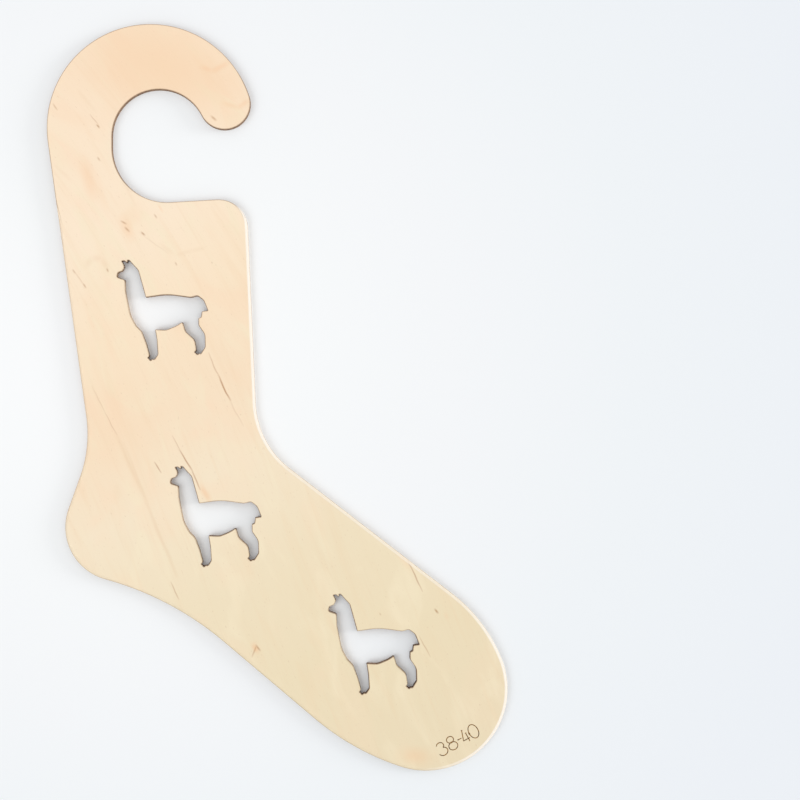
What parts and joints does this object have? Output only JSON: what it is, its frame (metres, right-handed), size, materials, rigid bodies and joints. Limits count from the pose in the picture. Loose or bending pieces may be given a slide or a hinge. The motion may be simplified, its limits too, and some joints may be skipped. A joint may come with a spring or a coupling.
{
  "type": "sock blocker",
  "caption": "Flat plywood sock blocker: a leg and foot outline with a hook to hang it by, animal figures cut through it for air and an eased edge for the sock to slide over.",
  "frame": {"origin": "on the back face, below the middle of the outline's box", "axes": "+Y up the leg towards the hook, +X towards the toe, +Z out of the front face; the board lies on its back face"},
  "size_m": [0.2426, 0.393, 0.004],
  "materials": {
    "face_veneer": "sanded birch, bare",
    "core_veneer": "cross-grain birch, laser cut edge",
    "glue": "cured resin glue"
  },
  "bodies": {
    "root": {"back_veneer": "face_veneer", "back_glue_line": "glue", "core_veneer": "core_veneer", "front_glue_line": "glue", "front_veneer": "face_veneer"}
  },
  "joints": []
}
